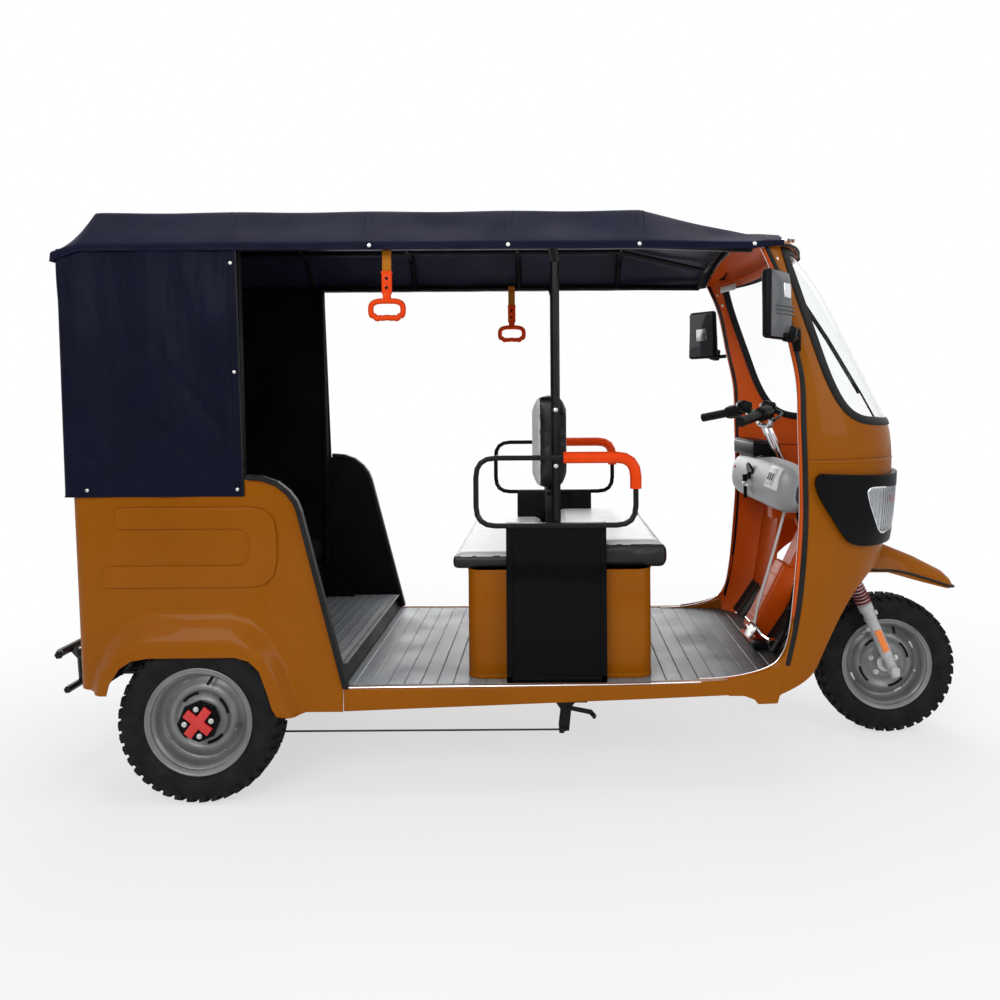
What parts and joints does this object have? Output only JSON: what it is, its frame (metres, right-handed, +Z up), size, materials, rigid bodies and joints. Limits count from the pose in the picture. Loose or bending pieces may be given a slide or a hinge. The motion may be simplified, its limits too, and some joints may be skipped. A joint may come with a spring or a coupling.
{
  "type": "electric rickshaw",
  "caption": "Electric passenger rickshaw on three wheels with an open-sided body, cloth roof, wrap-round windscreen, rear bench, middle seat box and a steered, raked front fork.",
  "frame": {"origin": "on the ground under the middle of the overall bounding box", "axes": "+X towards the front wheel, +Y to the vehicle's left, +Z up"},
  "size_m": [3.18, 1.309, 1.905],
  "materials": {
    "tyre": "rubber tread, dusty",
    "silver_paint": "silver paint, semi-gloss",
    "ochre_paint": "glossy ochre paint",
    "black_paint": "black paint, semi-gloss",
    "black_plastic": "moulded black plastic",
    "rubber": "dull rubber",
    "navy_cloth": "coated cloth, satin",
    "black_vinyl": "seat vinyl, satin",
    "chrome": "polished",
    "orange_plastic": "glossy orange plastic",
    "clear_glass": "clear",
    "red_plastic": "red lens plastic"
  },
  "bodies": {
    "body": {"dash": "silver_paint", "rear_lining": "black_plastic", "lamp_housing_left": "black_plastic", "lamp_housing_right": "black_plastic", "mirror_left": "black_plastic", "mirror_right": "black_plastic", "wiper": "black_plastic", "chassis_frame": "black_paint", "rear_axle": "black_paint", "front_bulkhead": "black_paint", "roof_frame": "black_paint", "seat_side_panel_left": "black_paint", "seat_side_panel_right": "black_paint", "armrest_left": "black_paint", "armrest_right": "black_paint", "rear_bumper": "black_paint", "brake_rod": "black_paint", "brake_pedal": "chrome", "floor_mat": "rubber", "edge_trim_left": "rubber", "edge_trim_right": "rubber", "windscreen_gasket": "rubber", "steering_head": "ochre_paint", "floor_pan": "ochre_paint", "rear_body": "ochre_paint", "seat_base": "ochre_paint", "cowl_lower": "ochre_paint", "cowl_upper": "ochre_paint", "windscreen_header": "ochre_paint", "rear_cushion": "black_vinyl", "rear_backrest": "black_vinyl", "rear_facing_cushion": "black_vinyl", "driver_cushion": "black_vinyl", "seat_backrest": "black_vinyl", "canopy": "navy_cloth", "rear_curtain": "navy_cloth", "grab_handle_left": "orange_plastic", "grab_handle_right": "orange_plastic", "armrest_cover_left": "orange_plastic", "armrest_cover_right": "orange_plastic", "windscreen": "clear_glass", "lamp_lens_left": "clear_glass", "lamp_lens_right": "clear_glass", "tail_lamp_left": "red_plastic", "tail_lamp_right": "red_plastic"},
    "steering": {"fork_yoke": "black_paint", "fork_legs": "silver_paint", "handlebar": "chrome", "grip_left": "rubber", "grip_right": "rubber", "front_mudguard": "ochre_paint"},
    "front_wheel": {"tyre_front": "tyre", "rim_front": "silver_paint"},
    "rear_wheel_left": {"tyre_rear_left": "tyre", "rim_rear_left": "silver_paint", "hub_cover_left": "black_plastic"},
    "rear_wheel_right": {"tyre_rear_right": "tyre", "rim_rear_right": "silver_paint", "hub_cover_right": "black_plastic"}
  },
  "joints": [
    {"name": "steering", "type": "hinge", "parent": "body", "child": "steering", "pos_m": [1.285, 0, 0.256], "axis": [-0.3955, 0, 0.9184], "range_deg": [-40, 40]},
    {"name": "front_wheel_spin", "type": "hinge", "parent": "steering", "child": "front_wheel", "pos_m": [1.334, 0, 0.256], "axis": [0, 1, 0], "continuous": true},
    {"name": "rear_wheel_left_spin", "type": "hinge", "parent": "body", "child": "rear_wheel_left", "pos_m": [-1.016, 0.4975, 0.256], "axis": [0, 1, 0], "continuous": true},
    {"name": "rear_wheel_right_spin", "type": "hinge", "parent": "body", "child": "rear_wheel_right", "pos_m": [-1.016, -0.4975, 0.256], "axis": [0, 1, 0], "continuous": true}
  ]
}
